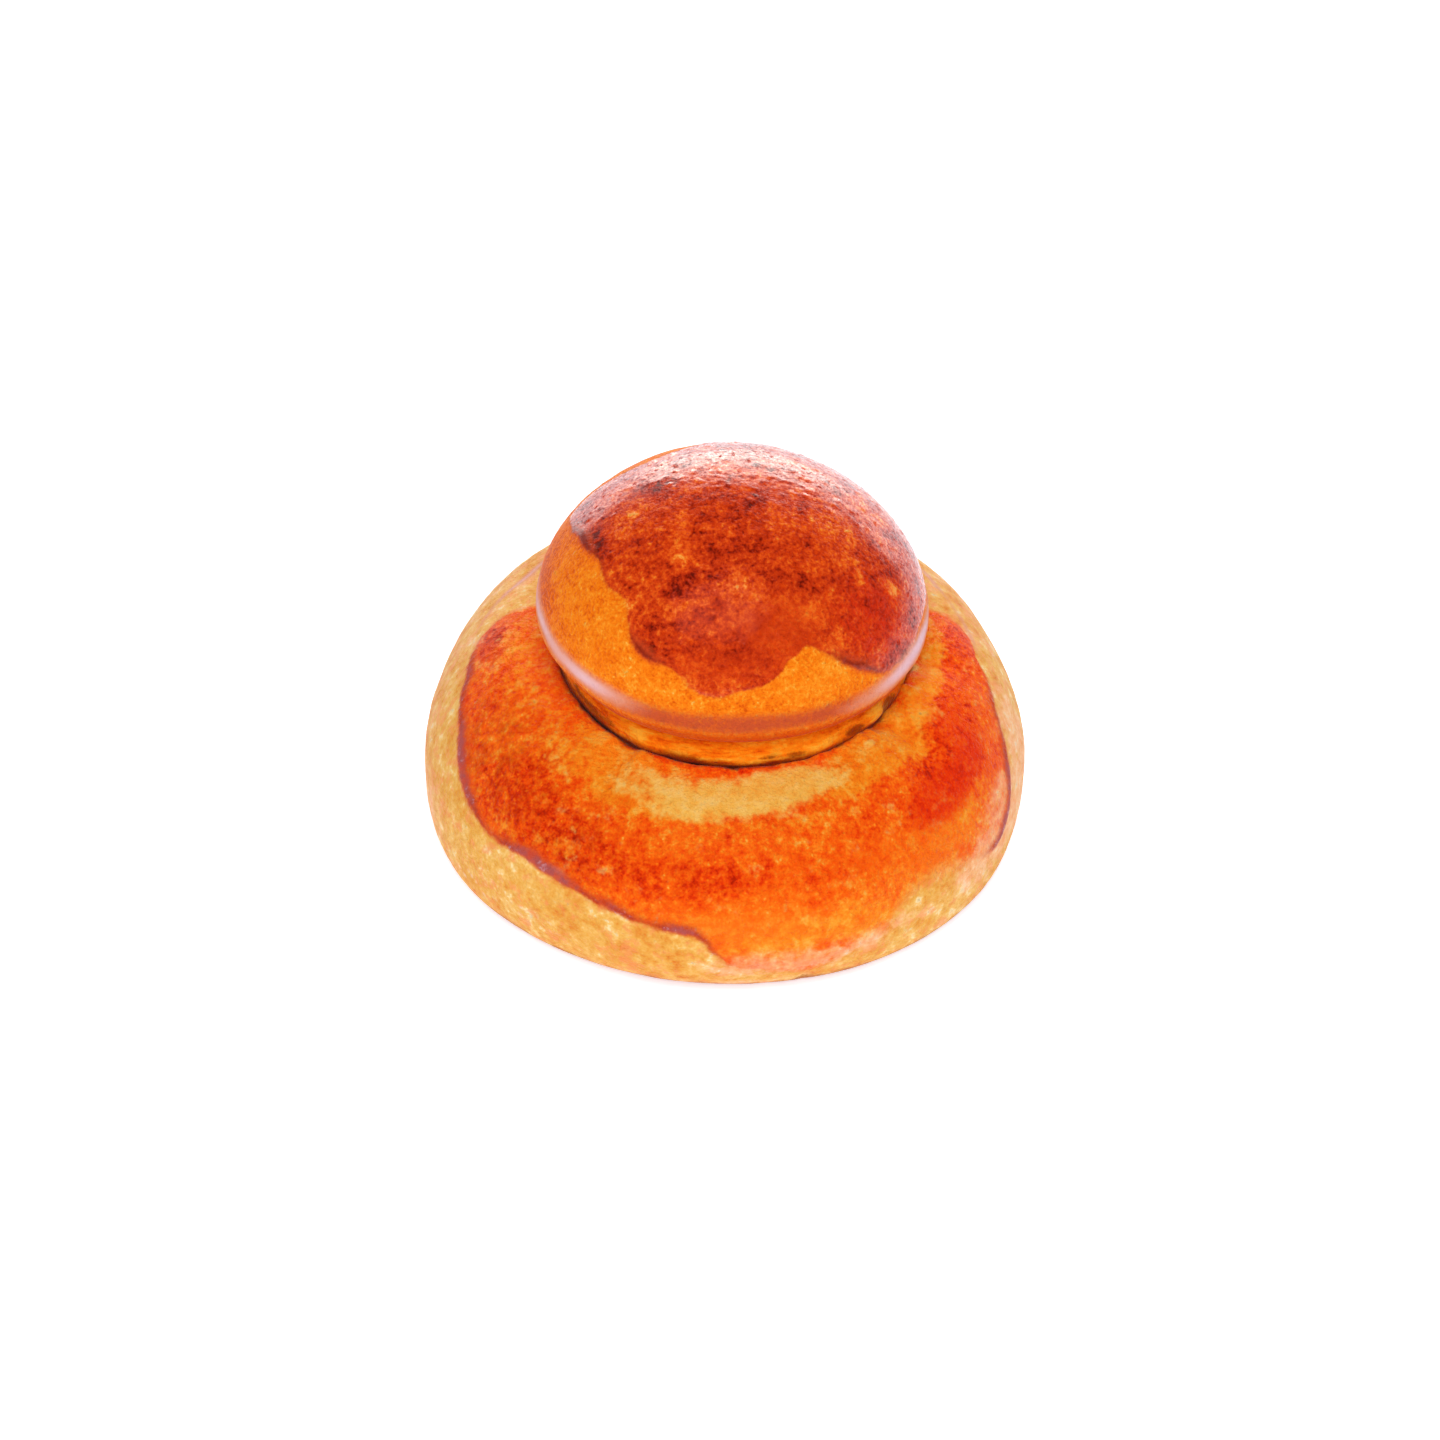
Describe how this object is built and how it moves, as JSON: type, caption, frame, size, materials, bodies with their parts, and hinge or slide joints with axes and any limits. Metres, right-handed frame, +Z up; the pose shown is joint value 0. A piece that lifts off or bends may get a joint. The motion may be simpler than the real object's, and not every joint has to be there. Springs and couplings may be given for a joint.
{
  "type": "brioche bun",
  "caption": "Round brioche bun with a domed top-knot on a low body, a deep crease between them, and an unevenly egg-washed crust.",
  "frame": {"origin": "centre of the bounding box at the flat base, on the surface the bun stands on", "axes": "+Z up through the knot; -Y towards the front, the side the picture shows; +X to the right of that view"},
  "size_m": [0.105, 0.105, 0.0675],
  "materials": {
    "crust": "baked golden crust, with a glossy mottled red-brown egg wash over the knot and the top of the body, and plain satin crust round the foot"
  },
  "bodies": {
    "root": {"bun": "crust"}
  },
  "joints": []
}
